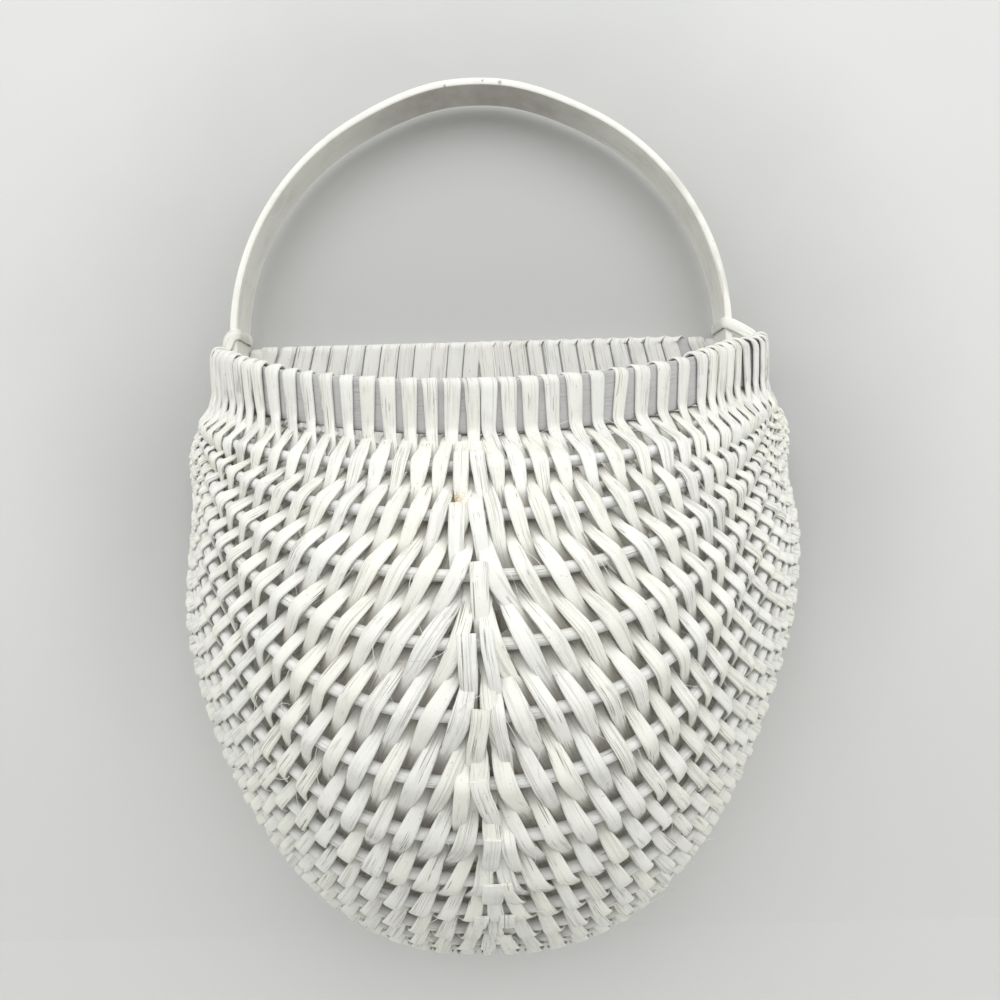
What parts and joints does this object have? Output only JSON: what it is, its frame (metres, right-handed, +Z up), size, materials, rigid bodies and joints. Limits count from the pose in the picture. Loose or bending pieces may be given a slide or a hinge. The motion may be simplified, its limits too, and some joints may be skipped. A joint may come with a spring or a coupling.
{
  "type": "wicker wall basket",
  "caption": "White painted rib basket with a flat back, a deep rounded belly, a wrapped bowed rim and a tall bent arch handle, made to hang on a wall.",
  "frame": {"origin": "underside of the top of the handle arch, where a wall hook carries the basket, in the plane of the wall", "axes": "+Z up along the height, +Y to the wall behind the basket, +X to the right"},
  "size_m": [0.3064, 0.1647, 0.4342],
  "materials": {
    "bent_handle": "satin white paint, worn at the edges",
    "rim_splint": "matt white paint",
    "rim_wrapping": "matt white paint on flat reed",
    "round_reed": "matt white paint on round reed",
    "flat_reed": "matt white paint on flat reed",
    "lashing_reed": "matt white paint on flat reed"
  },
  "bodies": {
    "root": {"handle_hoop": "bent_handle", "rim_bow": "rim_splint", "back_rail": "rim_splint", "rim_wrap": "rim_wrapping", "rail_wrap": "rim_wrapping", "front_rib_01": "round_reed", "front_rib_02": "round_reed", "front_rib_03": "round_reed", "front_rib_04": "round_reed", "front_rib_05": "round_reed", "front_rib_06": "round_reed", "front_rib_07": "round_reed", "front_rib_08": "round_reed", "front_rib_09": "round_reed", "front_rib_10": "round_reed", "front_rib_11": "round_reed", "front_rib_12": "round_reed", "front_rib_13": "round_reed", "weave_front_01": "flat_reed", "weave_front_02": "flat_reed", "weave_front_03": "flat_reed", "weave_front_04": "flat_reed", "weave_front_05": "flat_reed", "weave_front_06": "flat_reed", "weave_front_07": "flat_reed", "weave_front_08": "flat_reed", "weave_front_09": "flat_reed", "weave_front_10": "flat_reed", "weave_front_11": "flat_reed", "weave_front_12": "flat_reed", "weave_front_13": "flat_reed", "weave_turn": "flat_reed", "back_rib_1": "round_reed", "back_rib_2": "round_reed", "back_rib_3": "round_reed", "back_rib_4": "round_reed", "back_rib_5": "round_reed", "back_rib_6": "round_reed", "back_rib_7": "round_reed", "weave_back_1": "flat_reed", "weave_back_2": "flat_reed", "weave_back_3": "flat_reed", "weave_back_4": "flat_reed", "weave_back_5": "flat_reed", "weave_back_6": "flat_reed", "weave_back_7": "flat_reed", "ear_binding_left": "lashing_reed", "ear_weave_left": "flat_reed", "lashing_left": "lashing_reed", "ear_binding_right": "lashing_reed", "ear_weave_right": "flat_reed", "lashing_right": "lashing_reed"}
  },
  "joints": []
}
